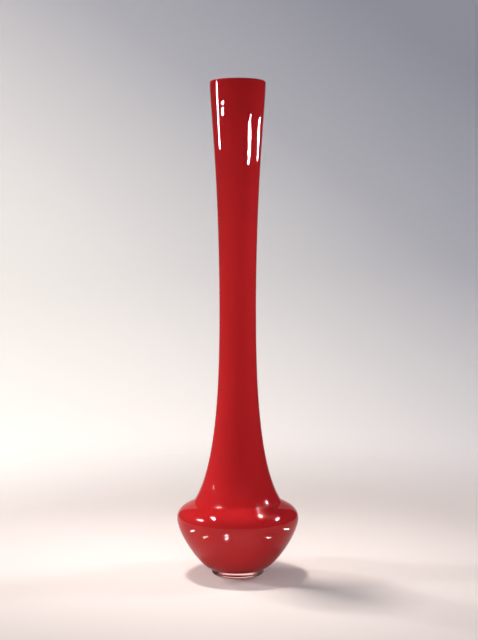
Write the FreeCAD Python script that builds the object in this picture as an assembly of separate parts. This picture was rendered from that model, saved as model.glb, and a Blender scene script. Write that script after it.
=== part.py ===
import FreeCAD, Part
import math
import os

# A tall stem vase of cased, hand-blown glass: a slim flared neck that swells
# through a soft break into a low rounded bulb on a short solid clear foot.
#
# The glass is built up in fused layers, from the outside in:
#   clear_casing    the outer gather of clear glass, lip to bowl bottom
#   red_layer       the thin coat of ruby colour under the casing
#   opal_lining     the white opal bubble that makes the colour opaque
#   clear_foot      the pad of clear glass under the bowl, polished flat
#
# Millimetres. +Z is the vase's axis, upwards. The origin is the centre of the
# flat base, so the vase stands on the plane Z = 0.
# Every piece is a section in the XZ half-plane turned about Z. Neighbouring
# layers share one boundary curve, so they meet face to face with no gap.

# Outer shape
HEIGHT = 500.0
LIP_RADIUS = 28.3
WAIST_RADIUS = 18.8
WAIST_Z = 270.6
BREAK_RADIUS = 43.9         # where the neck's trumpet meets the shoulder
BREAK_Z = 75.9
BREAK_SLOPE = 58.4          # degrees above horizontal
BELT_RADIUS = 62.0          # the widest circle of the bulb
BELT_Z = 57.4
BOWL_START_Z = 6.4          # where the bowl springs from the foot
BOWL_START_SLOPE = 6.0      # degrees above horizontal
BOWL_BOTTOM_Z = 3.6         # underside of the bowl on the axis, inside the foot

# How far each outline curve holds its end direction before it turns
BOTTOM_REACH = 10.0
BOWL_LOWER_REACH = 10.2
BOWL_UPPER_REACH = 15.7
SHOULDER_LOWER_REACH = 12.7
SHOULDER_UPPER_REACH = 5.0
TRUMPET_LOWER_REACH = 46.3
TRUMPET_UPPER_REACH = 53.7
NECK_LOWER_REACH = 130.5
NECK_UPPER_REACH = 23.1

# Whole glass wall, casing to lining
WALL_BOTTOM = 5.0
WALL_BOWL_START = 4.7
WALL_BELT = 4.0
WALL_BREAK = 4.0
WALL_WAIST = 3.5
WALL_LIP = 3.0

# Depth of each layer boundary, as a share of the wall from the outside
CASING_OUTSIDE = 0.0
RED_OUTSIDE = 0.50
OPAL_OUTSIDE = 0.70
OPAL_INSIDE = 1.0

# Foot
FOOT_RADIUS = 26.6
FOOT_EDGE_RADIUS = 2.4      # rounded heel
HEEL_END = 70.0             # degrees round the heel where the flat base cuts it
FOOT_FILLET_RADIUS = 1.6    # between the foot's side and the bowl

# Headings in the section, in degrees from +X towards +Z
OUTWARD = 0.0
UPRIGHT = 90.0
INWARD = 180.0
FULL_TURN = 360.0

SAME_PLACE = 1.0e-6         # points nearer than this are one point


def point(radius, height):
    """A point of the XZ section."""
    return FreeCAD.Vector(radius, 0.0, height)


def direction(degrees):
    """A unit vector of the section, from +X towards +Z."""
    angle = math.radians(degrees)
    return FreeCAD.Vector(math.cos(angle), 0.0, math.sin(angle))


def line(start, end):
    """A straight edge of a section."""
    return Part.LineSegment(start, end).toShape()


def arc_about(centre, radius, start, end):
    """A round stretch of a section between two headings from its centre."""
    places = [centre + direction(a) * radius for a in (start, (start + end) / 2.0, end)]
    return Part.Arc(*places).toShape()


def fillet_centre():
    """Centre of the fillet that joins the foot's side to the bowl."""
    rise = math.cos(math.radians(BOWL_START_SLOPE)) * FOOT_FILLET_RADIUS
    return point(FOOT_RADIUS + FOOT_FILLET_RADIUS, BOWL_START_Z - rise)


def bowl_start():
    """The circle where the bowl springs from the foot's fillet."""
    return fillet_centre() + direction(BOWL_START_SLOPE + UPRIGHT) * FOOT_FILLET_RADIUS


def stations(depth):
    """The outline's stations at a depth in the wall: point, then heading.

    They run from the axis under the bowl, round the bulb and up to the lip.
    Each is the outer station moved into the glass, square to the outline.
    """
    outer = [
        (point(0.0, BOWL_BOTTOM_Z), OUTWARD, WALL_BOTTOM),
        (bowl_start(), BOWL_START_SLOPE, WALL_BOWL_START),
        (point(BELT_RADIUS, BELT_Z), UPRIGHT, WALL_BELT),
        (point(BREAK_RADIUS, BREAK_Z), INWARD - BREAK_SLOPE, WALL_BREAK),
        (point(WAIST_RADIUS, WAIST_Z), UPRIGHT, WALL_WAIST),
        (point(LIP_RADIUS, HEIGHT - WALL_LIP / 2.0), UPRIGHT, WALL_LIP),
    ]
    moved = []
    for place, heading, wall in outer:
        into_glass = direction(heading + UPRIGHT)
        moved.append((place + into_glass * (wall * depth), heading))
    return moved


REACHES = [
    (BOTTOM_REACH, BOTTOM_REACH),
    (BOWL_LOWER_REACH, BOWL_UPPER_REACH),
    (SHOULDER_LOWER_REACH, SHOULDER_UPPER_REACH),
    (TRUMPET_LOWER_REACH, TRUMPET_UPPER_REACH),
    (NECK_LOWER_REACH, NECK_UPPER_REACH),
]


def boundary(depth):
    """The curves of one layer boundary, from the axis to the lip."""
    outer = stations(CASING_OUTSIDE)
    here = stations(depth)
    curves = []
    for index, (leave, arrive) in enumerate(REACHES):
        start, start_heading = here[index]
        end, end_heading = here[index + 1]
        outer_span = (outer[index + 1][0] - outer[index][0]).Length
        scale = (end - start).Length / outer_span
        curve = Part.BezierCurve()
        curve.setPoles([
            start,
            start + direction(start_heading) * (leave * scale),
            end - direction(end_heading) * (arrive * scale),
            end,
        ])
        curves.append(curve.toShape())
    return curves


def lip_point(depth):
    """Where a layer boundary meets the round, fire-polished lip."""
    across = WALL_LIP * (0.5 - depth)
    rise = math.sqrt(max((WALL_LIP / 2.0) ** 2 - across ** 2, 0.0))
    middle = LIP_RADIUS - WALL_LIP / 2.0
    return point(middle + across, HEIGHT - WALL_LIP / 2.0 + rise)


def turned(edges):
    """The solid swept by a closed section about the vase's axis."""
    wire = Part.Wire(Part.__sortEdges__(edges))
    face = Part.Face(wire)
    return face.revolve(point(0.0, 0.0), direction(UPRIGHT), FULL_TURN)


def layer(outside, inside):
    """One layer of the wall, between two depths, closed by its part of the lip."""
    edges = boundary(outside) + boundary(inside)
    for depth in (outside, inside):
        wall_end = stations(depth)[-1][0]
        if (lip_point(depth) - wall_end).Length > SAME_PLACE:
            edges.append(line(wall_end, lip_point(depth)))
    middle = lip_point((outside + inside) / 2.0)
    edges.append(Part.Arc(lip_point(outside), middle, lip_point(inside)).toShape())
    edges.append(line(stations(outside)[0][0], stations(inside)[0][0]))
    return turned(edges)


def clear_foot():
    """The solid pad: flat base, round heel, straight side, fillet to the bowl."""
    base_middle = point(0.0, 0.0)
    heel_rise = math.sin(math.radians(HEEL_END)) * FOOT_EDGE_RADIUS
    heel_centre = point(FOOT_RADIUS - FOOT_EDGE_RADIUS, heel_rise)
    base_edge = heel_centre + direction(-HEEL_END) * FOOT_EDGE_RADIUS
    side_low = heel_centre + direction(OUTWARD) * FOOT_EDGE_RADIUS
    side_high = fillet_centre() + direction(INWARD) * FOOT_FILLET_RADIUS
    fillet_end = BOWL_START_SLOPE + UPRIGHT
    return turned([
        line(base_middle, base_edge),
        arc_about(heel_centre, FOOT_EDGE_RADIUS, -HEEL_END, OUTWARD),
        line(side_low, side_high),
        arc_about(fillet_centre(), FOOT_FILLET_RADIUS, INWARD, fillet_end),
        boundary(CASING_OUTSIDE)[0],
        line(base_middle, point(0.0, BOWL_BOTTOM_Z)),
    ])


PIECES = {
    "clear_casing": layer(CASING_OUTSIDE, RED_OUTSIDE),
    "red_layer": layer(RED_OUTSIDE, OPAL_OUTSIDE),
    "opal_lining": layer(OPAL_OUTSIDE, OPAL_INSIDE),
    "clear_foot": clear_foot(),
}

os.makedirs("parts", exist_ok=True)
for name, solid in PIECES.items():
    box = solid.optimalBoundingBox(True, False)
    print(
        f"{name}: {solid.ShapeType}, valid {solid.isValid()}, {solid.Volume / 1000.0:.2f} cm3,"
        f" radius {box.XMax:.2f}, height {box.ZMin:.2f} to {box.ZMax:.2f} mm"
    )
    solid.exportStep(f"parts/{name}.step")
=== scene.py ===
import math

import bmesh
import bpy
from mathutils import Matrix, Vector, noise


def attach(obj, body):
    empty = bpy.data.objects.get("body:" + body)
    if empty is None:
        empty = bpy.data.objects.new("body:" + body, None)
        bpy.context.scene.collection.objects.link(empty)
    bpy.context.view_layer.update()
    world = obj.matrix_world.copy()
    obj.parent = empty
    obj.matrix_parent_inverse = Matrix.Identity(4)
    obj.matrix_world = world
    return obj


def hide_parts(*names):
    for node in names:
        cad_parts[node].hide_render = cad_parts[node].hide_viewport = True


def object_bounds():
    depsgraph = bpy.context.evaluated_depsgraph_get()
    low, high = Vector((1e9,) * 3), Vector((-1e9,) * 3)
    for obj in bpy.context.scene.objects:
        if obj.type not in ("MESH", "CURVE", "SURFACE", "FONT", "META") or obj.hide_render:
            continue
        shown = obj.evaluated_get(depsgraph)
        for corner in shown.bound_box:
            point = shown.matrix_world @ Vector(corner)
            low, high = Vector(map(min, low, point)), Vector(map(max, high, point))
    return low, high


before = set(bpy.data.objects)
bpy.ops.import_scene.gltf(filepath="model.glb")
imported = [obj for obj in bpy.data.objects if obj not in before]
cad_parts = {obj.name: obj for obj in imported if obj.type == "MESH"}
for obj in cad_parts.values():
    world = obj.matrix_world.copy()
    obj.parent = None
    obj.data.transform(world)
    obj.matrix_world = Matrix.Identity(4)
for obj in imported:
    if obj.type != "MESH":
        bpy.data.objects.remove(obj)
CAD_LOW, CAD_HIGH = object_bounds()

# The looks of a tall stem vase of cased glass, in metres, in the frame of the
# CAD model: +Z up the vase's axis, the flat base on Z = 0.
#
# Each layer of glass is turned again here as a fine mesh, with the slight
# unevenness of a piece shaped by hand, always inwards so that it stays inside
# the CAD surface:
#   clear_casing_glass   the clear gather over the whole bubble
#   red_layer_glass      the ruby colour under it
#   opal_lining_glass    the white opal bubble inside
#   clear_foot_glass     the clear pad under the bowl, polished flat
# Casing and foot are one body of clear glass in the real vase, so their meshes
# share the ring where they join and have no wall between them there.

MM = 0.001

# Outline, as in the CAD model: stations on the outside of the glass
HEIGHT = CAD_HIGH.z
BELT_RADIUS = CAD_HIGH.x
BELT_Z = 57.4 * MM
LIP_RADIUS = 28.3 * MM
WAIST_RADIUS = 18.8 * MM
WAIST_Z = 270.6 * MM
BREAK_RADIUS = 43.9 * MM
BREAK_Z = 75.9 * MM
BREAK_SLOPE = 58.4
BOWL_START_Z = 6.4 * MM
BOWL_START_SLOPE = 6.0
BOWL_BOTTOM_Z = 3.6 * MM
FOOT_RADIUS = 26.6 * MM
HEEL_RADIUS = 2.4 * MM
HEEL_END = 70.0
FILLET_RADIUS = 1.6 * MM
WALLS = [5.0 * MM, 4.7 * MM, 4.0 * MM, 4.0 * MM, 3.5 * MM, 3.0 * MM]
WALL_LIP = WALLS[-1]
REACHES = [
    (10.0 * MM, 10.0 * MM),
    (10.2 * MM, 15.7 * MM),
    (12.7 * MM, 5.0 * MM),
    (46.3 * MM, 53.7 * MM),
    (130.5 * MM, 23.1 * MM),
]
RINGS = [16, 56, 44, 90, 84]      # rings of the mesh along each of those curves

# Depth of the layers in the wall, as a share of it from the outside
RED_DEPTH = 0.50
OPAL_DEPTH = 0.70
INSIDE_DEPTH = 1.0
BITE = 0.06                       # how far a layer's back reaches into the next one

SEGMENTS = 160                    # round the vase
WANDER = 0.16 * MM                # deepest unevenness of the hand-shaped surface
CALM_BASE = 20.0 * MM             # height over which it grows from nothing at the foot
SLOW_PER_METRE = 14.0             # how fast its broad part changes with height
FINE_PER_METRE = 55.0             # and its fine part
FINE_ROUND = 2.6                  # how fast the fine part changes round the vase
SLOW_SHARE = 0.42                 # how much of it is broad
FINE_SHARE = 0.16                 # and how much is fine
LIP_RINGS = 10                    # across the rounded lip
HEEL_RINGS = 14                   # round the foot's heel
FILLET_RINGS = 12                 # in the fillet above it
ON_AXIS = 1.0e-7                  # a point nearer the axis than this is one vertex


def direction(degrees):
    """A unit vector of the section, from outwards towards upwards."""
    angle = math.radians(degrees)
    return Vector((math.cos(angle), math.sin(angle)))


def stations(depth):
    """The outline's stations at a depth in the wall: point, then heading."""
    rise = math.cos(math.radians(BOWL_START_SLOPE)) * FILLET_RADIUS
    fillet = Vector((FOOT_RADIUS + FILLET_RADIUS, BOWL_START_Z - rise))
    bowl_start = fillet + direction(BOWL_START_SLOPE + 90.0) * FILLET_RADIUS
    outer = [
        (Vector((0.0, BOWL_BOTTOM_Z)), 0.0),
        (bowl_start, BOWL_START_SLOPE),
        (Vector((BELT_RADIUS, BELT_Z)), 90.0),
        (Vector((BREAK_RADIUS, BREAK_Z)), 180.0 - BREAK_SLOPE),
        (Vector((WAIST_RADIUS, WAIST_Z)), 90.0),
        (Vector((LIP_RADIUS, HEIGHT - WALL_LIP / 2.0)), 90.0),
    ]
    moved = []
    for (place, slope), wall in zip(outer, WALLS):
        moved.append((place + direction(slope + 90.0) * (wall * depth), slope))
    return moved


def bezier(a, b, c, d, share):
    """A point of a cubic curve."""
    left = 1.0 - share
    return (a * left ** 3 + b * (3.0 * left ** 2 * share)
            + c * (3.0 * left * share ** 2) + d * share ** 3)


def boundary(depth, first=0):
    """Points of one layer boundary, from the curve numbered first up to the lip."""
    outer = stations(0.0)
    here = stations(depth)
    points = [here[first][0]]
    for index in range(first, len(REACHES)):
        leave, arrive = REACHES[index]
        start, start_heading = here[index]
        end, end_heading = here[index + 1]
        scale = (end - start).length / (outer[index + 1][0] - outer[index][0]).length
        low = start + direction(start_heading) * (leave * scale)
        high = end - direction(end_heading) * (arrive * scale)
        for ring in range(1, RINGS[index] + 1):
            points.append(bezier(start, low, high, end, ring / RINGS[index]))
    return points


def lip(start_depth, end_depth):
    """Points across the rounded lip, between two depths, both ends included."""
    points = []
    middle = LIP_RADIUS - WALL_LIP / 2.0
    start = math.acos(1.0 - 2.0 * start_depth)
    end = math.acos(1.0 - 2.0 * end_depth)
    for step in range(LIP_RINGS + 1):
        here = start + (end - start) * step / LIP_RINGS
        points.append(Vector((
            middle + math.cos(here) * WALL_LIP / 2.0,
            HEIGHT - WALL_LIP / 2.0 + math.sin(here) * WALL_LIP / 2.0,
        )))
    return points


def wander(around, height):
    """How far the hand-shaped surface sinks here: a slow, smooth unevenness."""
    spin = 0.8 + 1.2 * height / HEIGHT
    out = Vector((math.cos(around), math.sin(around), 0.0))
    up = Vector((0.0, 0.0, height))
    slow = noise.noise(out * spin + up * SLOW_PER_METRE)
    fine = noise.noise(out * FINE_ROUND + up * FINE_PER_METRE)
    sink = 0.5 + SLOW_SHARE * slow + FINE_SHARE * fine
    near_base = min(max((height - BOWL_START_Z) / CALM_BASE, 0.0), 1.0)
    return WANDER * min(max(sink, 0.0), 1.0) * near_base


def ring_of(shape, place):
    """The ring that a point of the section makes, or one vertex on the axis."""
    if place.x < ON_AXIS:
        return [shape.verts.new((0.0, 0.0, place.y))]
    ring = []
    for step in range(SEGMENTS):
        around = math.tau * step / SEGMENTS
        reach = place.x - wander(around, place.y)
        ring.append(shape.verts.new((
            math.cos(around) * reach,
            math.sin(around) * reach,
            place.y,
        )))
    return ring


def turn(name, runs, node):
    """A smooth piece turned from runs of section points, the glass on their left."""
    shape = bmesh.new()
    for run in runs:
        rings = [ring_of(shape, place) for place in run]
        for low, high in zip(rings, rings[1:]):
            for step in range(SEGMENTS):
                after = (step + 1) % SEGMENTS
                if len(low) == 1:
                    shape.faces.new((low[0], high[after], high[step]))
                elif len(high) == 1:
                    shape.faces.new((low[step], low[after], high[0]))
                else:
                    shape.faces.new((low[step], low[after], high[after], high[step]))
    mesh = bpy.data.meshes.new(name)
    shape.to_mesh(mesh)
    shape.free()
    for face in mesh.polygons:
        face.use_smooth = True
    piece = bpy.data.objects.new(name, mesh)
    bpy.context.scene.collection.objects.link(piece)
    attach(piece, "root")
    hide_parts(node)
    return piece


# ---------------------------------------------------------------- materials

GLASS_IOR = 1.46
COLOUR_ROUGHNESS = 0.12


def new_material(name):
    """An empty node material, its tree and its output."""
    material = bpy.data.materials.new(name)
    material.use_nodes = True
    tree = material.node_tree
    tree.nodes.clear()
    output = tree.nodes.new("ShaderNodeOutputMaterial")
    return material, tree, output


def soft_noise(tree, scale, detail, stretch=(1.0, 1.0, 1.0)):
    """A noise texture on the object's own coordinates, stretched along its axes."""
    place = tree.nodes.new("ShaderNodeTexCoord")
    mapping = tree.nodes.new("ShaderNodeMapping")
    mapping.inputs["Scale"].default_value = stretch
    pattern = tree.nodes.new("ShaderNodeTexNoise")
    pattern.inputs["Scale"].default_value = scale
    pattern.inputs["Detail"].default_value = detail
    tree.links.new(place.outputs["Object"], mapping.inputs["Vector"])
    tree.links.new(mapping.outputs["Vector"], pattern.inputs["Vector"])
    return pattern


def between(tree, pattern, low, high):
    """A ramp from colour low to colour high, driven by a noise texture."""
    ramp = tree.nodes.new("ShaderNodeValToRGB")
    ramp.color_ramp.elements[0].position = 0.35
    ramp.color_ramp.elements[0].color = (*low, 1.0)
    ramp.color_ramp.elements[1].position = 0.65
    ramp.color_ramp.elements[1].color = (*high, 1.0)
    tree.links.new(pattern.outputs["Fac"], ramp.inputs["Fac"])
    return ramp


def clear_glass(name, tint_low, tint_high):
    """Clear glass that lets the light of lamps, and of lit surfaces, straight through."""
    material, tree, output = new_material(name)
    glass = tree.nodes.new("ShaderNodeBsdfPrincipled")
    glass.inputs["Transmission Weight"].default_value = 1.0
    glass.inputs["IOR"].default_value = GLASS_IOR
    glass.inputs["Roughness"].default_value = 0.0
    tint = between(tree, soft_noise(tree, 18.0, 2.0), tint_low, tint_high)
    tree.links.new(tint.outputs["Color"], glass.inputs["Base Color"])
    through = tree.nodes.new("ShaderNodeBsdfTransparent")
    through.inputs["Color"].default_value = (0.96, 0.95, 0.94, 1.0)
    paths = tree.nodes.new("ShaderNodeLightPath")
    by_lamps = tree.nodes.new("ShaderNodeMixShader")
    by_surfaces = tree.nodes.new("ShaderNodeMixShader")
    tree.links.new(paths.outputs["Is Diffuse Ray"], by_surfaces.inputs[0])
    tree.links.new(glass.outputs[0], by_surfaces.inputs[1])
    tree.links.new(through.outputs[0], by_surfaces.inputs[2])
    tree.links.new(paths.outputs["Is Shadow Ray"], by_lamps.inputs[0])
    tree.links.new(by_surfaces.outputs[0], by_lamps.inputs[1])
    tree.links.new(through.outputs[0], by_lamps.inputs[2])
    tree.links.new(by_lamps.outputs[0], output.inputs["Surface"])
    return material


def colour_glass(name, low, high, scale, stretch, gloss):
    """Opaque colour glass, streaked a little as it was drawn out."""
    material, tree, output = new_material(name)
    shader = tree.nodes.new("ShaderNodeBsdfPrincipled")
    shader.inputs["Roughness"].default_value = COLOUR_ROUGHNESS
    shader.inputs["Specular IOR Level"].default_value = gloss
    colour = between(tree, soft_noise(tree, scale, 4.0, stretch), low, high)
    tree.links.new(colour.outputs["Color"], shader.inputs["Base Color"])
    tree.links.new(shader.outputs[0], output.inputs["Surface"])
    return material


def paper(name, colour, mirrored_share):
    """Pale paper for the studio sweep, with painted light on it.

    The paper carries a painted glow, an emission in place of lamplight falling
    on it: strongest low on the left, it cools and fades upwards to the right,
    to painted shade at the top. The glass mirrors the paper dimmer than it is,
    by the given share.
    """
    material, tree, output = new_material(name)
    place = tree.nodes.new("ShaderNodeTexCoord")
    slope = tree.nodes.new("ShaderNodeVectorMath")
    slope.operation = "DOT_PRODUCT"
    slope.inputs[1].default_value = PAINTED_GLOW_DIRECTION
    tree.links.new(place.outputs["Object"], slope.inputs[0])
    shift = tree.nodes.new("ShaderNodeMath")
    shift.operation = "ADD"
    shift.inputs[1].default_value = PAINTED_GLOW_AT_VASE
    tree.links.new(slope.outputs["Value"], shift.inputs[0])
    # Painted light: the glow's colour, warm and bright low on the left, fading to near black at the
    # top right
    ramp = tree.nodes.new("ShaderNodeValToRGB")
    stops = ramp.color_ramp.elements
    stops[0].position, stops[0].color = 0.1, (0.86, 0.80, 0.72, 1.0)
    stops[1].position, stops[1].color = 1.0, (0.01, 0.03, 0.07, 1.0)
    stops.new(0.45).color = (0.58, 0.55, 0.52, 1.0)
    stops.new(0.75).color = (0.17, 0.18, 0.21, 1.0)
    tree.links.new(shift.outputs["Value"], ramp.inputs["Fac"])
    reach = tree.nodes.new("ShaderNodeVectorMath")
    reach.operation = "LENGTH"
    tree.links.new(place.outputs["Object"], reach.inputs[0])
    rise = tree.nodes.new("ShaderNodeMapRange")
    rise.interpolation_type = "SMOOTHSTEP"
    rise.inputs["From Min"].default_value = GLOW_START
    rise.inputs["From Max"].default_value = GLOW_FULL
    tree.links.new(reach.outputs["Value"], rise.inputs["Value"])
    mixed = tree.nodes.new("ShaderNodeMixShader")
    paths = tree.nodes.new("ShaderNodeLightPath")
    tree.links.new(paths.outputs["Is Glossy Ray"], mixed.inputs[0])
    for slot, share in ((1, 1.0), (2, mirrored_share)):
        matt = tree.nodes.new("ShaderNodeBsdfDiffuse")
        matt.inputs["Color"].default_value = (*(part * share for part in colour), 1.0)
        strength = tree.nodes.new("ShaderNodeMath")
        strength.operation = "MULTIPLY"
        strength.inputs[1].default_value = share
        tree.links.new(rise.outputs["Result"], strength.inputs[0])
        glow = tree.nodes.new("ShaderNodeEmission")
        tree.links.new(ramp.outputs["Color"], glow.inputs["Color"])
        tree.links.new(strength.outputs["Value"], glow.inputs["Strength"])
        both = tree.nodes.new("ShaderNodeAddShader")
        tree.links.new(matt.outputs[0], both.inputs[0])
        tree.links.new(glow.outputs[0], both.inputs[1])
        tree.links.new(both.outputs[0], mixed.inputs[slot])
    tree.links.new(mixed.outputs[0], output.inputs["Surface"])
    return material


# ------------------------------------------------------------------- pieces

def foot_section():
    """The foot's outline: base, round heel, side and fillet to the bowl."""
    rise = math.sin(math.radians(HEEL_END)) * HEEL_RADIUS
    heel = Vector((FOOT_RADIUS - HEEL_RADIUS, rise))
    points = [Vector((0.0, 0.0))]
    flat = heel.x + math.cos(math.radians(HEEL_END)) * HEEL_RADIUS
    for share in (0.2, 0.4, 0.6, 0.8, 0.92):
        points.append(Vector((flat * share, 0.0)))
    for step in range(HEEL_RINGS + 1):
        angle = -HEEL_END * (1.0 - step / HEEL_RINGS)
        points.append(heel + direction(angle) * HEEL_RADIUS)
    drop = math.cos(math.radians(BOWL_START_SLOPE)) * FILLET_RADIUS
    fillet = Vector((FOOT_RADIUS + FILLET_RADIUS, BOWL_START_Z - drop))
    for step in range(FILLET_RINGS + 1):
        angle = 180.0 + (BOWL_START_SLOPE + 90.0 - 180.0) * step / FILLET_RINGS
        points.append(fillet + direction(angle) * FILLET_RADIUS)
    return points


def build_vase():
    """The four layers of the vase, each with its material."""
    casing_back = RED_DEPTH + BITE
    casing = turn(
        "clear_casing_glass",
        [boundary(0.0, first=1)[:-1] + lip(0.0, RED_DEPTH)
         + boundary(casing_back, first=1)[::-1]],
        "clear_casing",
    )
    casing.data.materials.append(
        clear_glass("casing_glass", (0.985, 0.975, 0.97), (1.0, 0.995, 0.99)))
    red = turn(
        "red_layer_glass",
        [boundary(RED_DEPTH)[:-1] + lip(RED_DEPTH, OPAL_DEPTH)
         + boundary(OPAL_DEPTH + BITE)[::-1]],
        "red_layer",
    )
    red.data.materials.append(colour_glass(
        "ruby_glass", (0.42, 0.014, 0.017), (0.50, 0.018, 0.022), 9.0, (1.0, 1.0, 0.3), 0.0))
    opal = turn(
        "opal_lining_glass",
        [boundary(OPAL_DEPTH)[:-1] + lip(OPAL_DEPTH, INSIDE_DEPTH)
         + boundary(INSIDE_DEPTH)[::-1]],
        "opal_lining",
    )
    opal.data.materials.append(colour_glass(
        "white_opal_glass", (0.82, 0.79, 0.76), (0.88, 0.86, 0.84), 12.0, (1.0, 1.0, 0.3), 0.5))
    foot = turn(
        "clear_foot_glass",
        [foot_section(), boundary(casing_back)[:RINGS[0] + 1][::-1]],
        "clear_foot",
    )
    # The foot's pink tint is partly real and partly painted reflection: a faint tint of clear
    # glass, deepened to stand in for the bowl's red seen in the foot
    foot.data.materials.append(
        clear_glass("foot_clear_glass", (0.95, 0.84, 0.82), (0.97, 0.88, 0.86)))


# -------------------------------------------------------------------- stage

FLOOR_Z = -0.0002                 # the polished base keeps a film of air under it
FLOOR_RADIUS = 0.75
SWEEP_CURVE = 1.35                # radius of the curve from floor to wall
WALL_TOP = 1.8
MIRRORED_HALF = 25.0              # degrees of wall behind the vase, each side
# Painted light on the paper: where its emission glow begins and where it is full
GLOW_START = 0.15                 # distance from the vase where the paper starts to glow
GLOW_FULL = 0.95                  # and where its glow is full
MIRRORED_SHARE = 0.5              # how bright the glass mirrors the paper
SIDES_SHARE = 0.06                # and the paper of the sides and the front
STUDIO_STEPS = 96
# Painted light on the paper: the direction and amount of the glow's fade
PAINTED_GLOW_DIRECTION = (0.35, -0.12, 0.55)  # where the glow fades to, and how fast per metre
PAINTED_GLOW_AT_VASE = 0.59              # how far it has faded at the vase, from 0 to 1
CURVE_STEPS = 12                  # of the wall's quarter circle
CAMERA_PLACE = (0.0013, -1.268, 0.3292)
CAMERA_TILT = 3.14                # degrees down
LAMP_WHITE = (1.0, 0.97, 0.95)


def floor_section():
    """The floor, from the middle out to where the wall's curve begins."""
    return [(radius, FLOOR_Z) for radius in (0.0, 0.25, 0.5, FLOOR_RADIUS)]


def wall_section():
    """The wall: a quarter circle up from the floor, then straight."""
    section = []
    for step in range(CURVE_STEPS + 1):
        angle = math.radians(90.0 * step / CURVE_STEPS)
        section.append((
            FLOOR_RADIUS + math.sin(angle) * SWEEP_CURVE,
            FLOOR_Z + (1.0 - math.cos(angle)) * SWEEP_CURVE,
        ))
    section.append((FLOOR_RADIUS + SWEEP_CURVE, WALL_TOP))
    return section


def sweep(name, section, start, end, colour, mirrored_share):
    """Part of the round studio, turned between two bearings (0 in front, 90 right)."""
    shape = bmesh.new()
    rows = []
    for radius, height in section:
        row = []
        for step in range(STUDIO_STEPS + 1):
            around = math.radians(start + (end - start) * step / STUDIO_STEPS)
            row.append(shape.verts.new((
                math.sin(around) * radius,
                -math.cos(around) * radius,
                height,
            )))
        rows.append(row)
    for low, high in zip(rows, rows[1:]):
        for step in range(STUDIO_STEPS):
            shape.faces.new((low[step], low[step + 1], high[step + 1], high[step]))
    bmesh.ops.remove_doubles(shape, verts=shape.verts, dist=1.0e-6)
    mesh = bpy.data.meshes.new(name)
    shape.to_mesh(mesh)
    shape.free()
    for face in mesh.polygons:
        face.use_smooth = True
    piece = bpy.data.objects.new(name, mesh)
    bpy.context.scene.collection.objects.link(piece)
    mesh.materials.append(paper(name + "_paper", colour, mirrored_share))
    return piece


def flat_lamp(name, place, aim, size, radiance, colour, spread, roll=0.0):
    """A flat rectangular lamp at a place, turned to a point. Not seen by the camera."""
    data = bpy.data.lights.new(name, "AREA")
    data.shape = "RECTANGLE"
    data.size, data.size_y = size
    data.spread = math.radians(spread)
    data.energy = radiance * math.pi * size[0] * size[1]
    data.color = colour
    holder = bpy.data.objects.new(name, data)
    holder.location = place
    turned = (Vector(aim) - Vector(place)).to_track_quat("-Z", "Y").to_matrix().to_4x4()
    turned = turned @ Matrix.Rotation(math.radians(roll), 4, "Z")
    holder.rotation_euler = turned.to_euler()
    holder.visible_camera = False
    bpy.context.scene.collection.objects.link(holder)
    return holder


def heading(bearing, elevation):
    """A unit vector from a bearing (0 in front, 90 to the right) and an elevation."""
    across = math.radians(bearing)
    up = math.radians(elevation)
    return Vector((
        math.sin(across) * math.cos(up),
        -math.cos(across) * math.cos(up),
        math.sin(up),
    ))


def studio_lamp(name, bearing, reach, height, aim, size, radiance, colour, spread=180.0):
    """A lamp that lights the scene and isn't mirrored in the glass."""
    place = heading(bearing, 0.0) * reach + Vector((0.0, 0.0, height))
    holder = flat_lamp(name, place, aim, size, radiance, colour, spread)
    holder.visible_glossy = False
    holder.visible_transmission = False


def glint(name, height, around, reach, size, radiance, spread=60.0, roll=0.0):
    """A small lamp that is only mirrored, where the camera sees one on the glass.

    The highlight is at a height (mm) and a bearing round the vase. The lamp stands
    on the line of sight that the glass turns away there.
    """
    outline = boundary(0.0, first=1)
    above = [place for place in outline if place.y > height * MM]
    below = outline[-len(above) - 1]
    share = (height * MM - below.y) / (above[0].y - below.y)
    place = below.lerp(above[0], share)
    along = (above[0] - below).normalized()
    outwards = heading(around, 0.0)
    upwards = Vector((0.0, 0.0, 1.0))
    spot = outwards * place.x + upwards * place.y
    normal = outwards * along.y - upwards * along.x
    sight = (spot - Vector(CAMERA_PLACE)).normalized()
    lamp = spot + sight.reflect(normal) * reach
    holder = flat_lamp(name, lamp, spot, size, radiance, LAMP_WHITE, spread, roll)
    holder.visible_diffuse = False
    holder.visible_transmission = False


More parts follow.
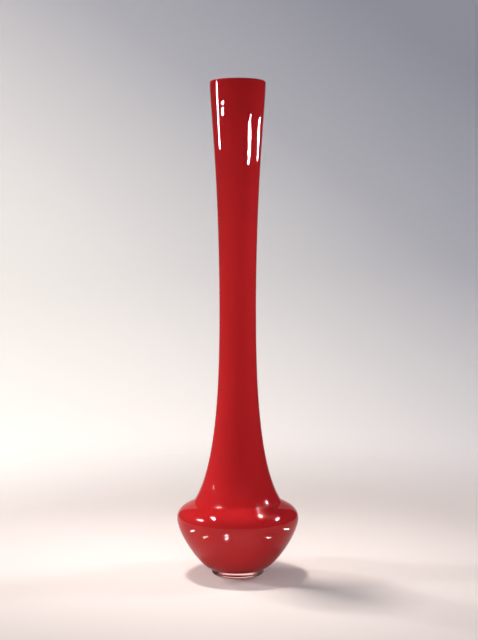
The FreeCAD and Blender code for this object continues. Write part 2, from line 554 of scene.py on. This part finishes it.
def build_lamps():
    """Soft warm light from above and the left, and the small lamps seen in the glass."""
    warm = (1.0, 0.86, 0.78)
    sunny = (1.0, 0.96, 0.86)
    bulb = (0.0, 0.0, 0.04)
    floor = (0.0, 0.0, 0.0)
    studio_lamp("overhead", -129.0, 0.32, 1.6, floor, (0.16, 0.16), 64.0, warm, 105.0)
    studio_lamp("overhead_front", -15.0, 0.93, 1.5, floor, (0.2, 0.2), 4.0, warm, 130.0)
    studio_lamp("front", 5.0, 0.5, 0.28, (0.0, 0.0, 0.28), (0.12, 0.12), 6.0, warm, 95.0)
    studio_lamp("left", -90.0, 0.7, 0.5, bulb, (0.08, 0.08), 6.0, LAMP_WHITE, 45.0)
    studio_lamp("left_rear", -127.0, 0.8, 0.47, bulb, (0.08, 0.08), 7.8, LAMP_WHITE, 45.0)
    studio_lamp("right", 105.0, 0.55, 0.46, (0.0, 0.0, 0.28), (0.12, 0.12), 12.0, LAMP_WHITE, 100.0)
    studio_lamp("floor_glow", -97.0, 1.0, 0.5, (-0.4, 0.6, 0.0), (0.5, 0.4), 2.6, sunny)
    glint("left_strip", 470.0, -48.0, 0.15, (0.018, 0.085), 20.0)
    glint("left_spot", 467.0, -34.0, 0.15, (0.034, 0.009), 20.0)
    glint("left_spot_high", 476.0, -33.0, 0.15, (0.022, 0.004), 20.0)
    glint("right_strip", 441.0, 28.0, 0.15, (0.036, 0.044), 25.0, roll=20.0)
    glint("right_strip_far", 442.0, 58.0, 0.15, (0.028, 0.043), 20.0, roll=15.0)
    glint("left_dash", 64.0, -38.0, 0.1, (0.030, 0.004), 32.0)
    glint("left_high_dash", 67.0, -24.0, 0.1, (0.030, 0.004), 24.0, 30.0)
    glint("right_high_dash", 69.0, 24.0, 0.1, (0.018, 0.004), 28.0, 25.0)
    glint("right_dash", 65.0, 41.0, 0.1, (0.026, 0.005), 35.0, 20.0)
    glint("left_low_dash", 52.0, -48.0, 0.085, (0.026, 0.002), 5.0)
    glint("left_lower_dash", 48.0, -32.0, 0.06, (0.020, 0.0015), 4.0)
    glint("right_low_dash", 53.0, 52.0, 0.085, (0.030, 0.002), 8.0)
    glint("right_lower_dash", 48.0, 30.0, 0.06, (0.020, 0.002), 8.0)
    glint("front_spot", 52.0, -10.0, 0.07, (0.005, 0.003), 14.0)
    glint("front_spot_low", 49.0, -10.0, 0.055, (0.005, 0.003), 14.0)
    glint("front_spot_right", 51.0, -5.0, 0.06, (0.003, 0.002), 25.0)
    # Seen only through the clear foot: light off the floor, reddened by the bowl above
    behind_foot = Vector((0.0, FOOT_RADIUS + 7.0 * MM, 5.0 * MM))
    ahead = behind_foot + heading(0.0, -35.0) * 0.05
    ruddy = (1.0, 0.42, 0.38)
    through = flat_lamp("foot_light", behind_foot, ahead, (0.046, 0.004), 0.36, ruddy, 80.0)
    through.visible_diffuse = False
    through.visible_glossy = False


def build_studio():
    """A pale sweep of paper with a dim room round it."""
    pale = (0.80, 0.77, 0.76)
    sweep("studio_floor", floor_section(), 0.0, 360.0, pale, MIRRORED_SHARE)
    behind = 180.0 - MIRRORED_HALF
    sweep("studio_backdrop", wall_section(), behind, 360.0 - behind, pale, MIRRORED_SHARE)
    sweep("studio_sides", wall_section(), -behind, behind, pale, SIDES_SHARE)
    world = bpy.data.worlds.new("studio_air")
    bpy.context.scene.world = world
    world.use_nodes = True
    air = world.node_tree.nodes["Background"]
    air.inputs["Color"].default_value = (0.62, 0.76, 1.0, 1.0)
    air.inputs["Strength"].default_value = 0.05
    world.cycles_visibility.glossy = False


def build_camera():
    """The camera: in front of the vase, a little above its middle."""
    data = bpy.data.cameras.new("camera")
    data.sensor_fit = "VERTICAL"
    data.sensor_height = 36.0
    data.lens = 70.3
    data.clip_end = 30.0
    camera = bpy.data.objects.new("camera", data)
    camera.location = CAMERA_PLACE
    camera.rotation_euler = (math.radians(90.0 - CAMERA_TILT), 0.0, 0.0)
    bpy.context.scene.collection.objects.link(camera)
    bpy.context.scene.camera = camera


build_camera()
build_vase()
build_studio()
build_lamps()
bpy.context.scene.view_settings.view_transform = "Standard"
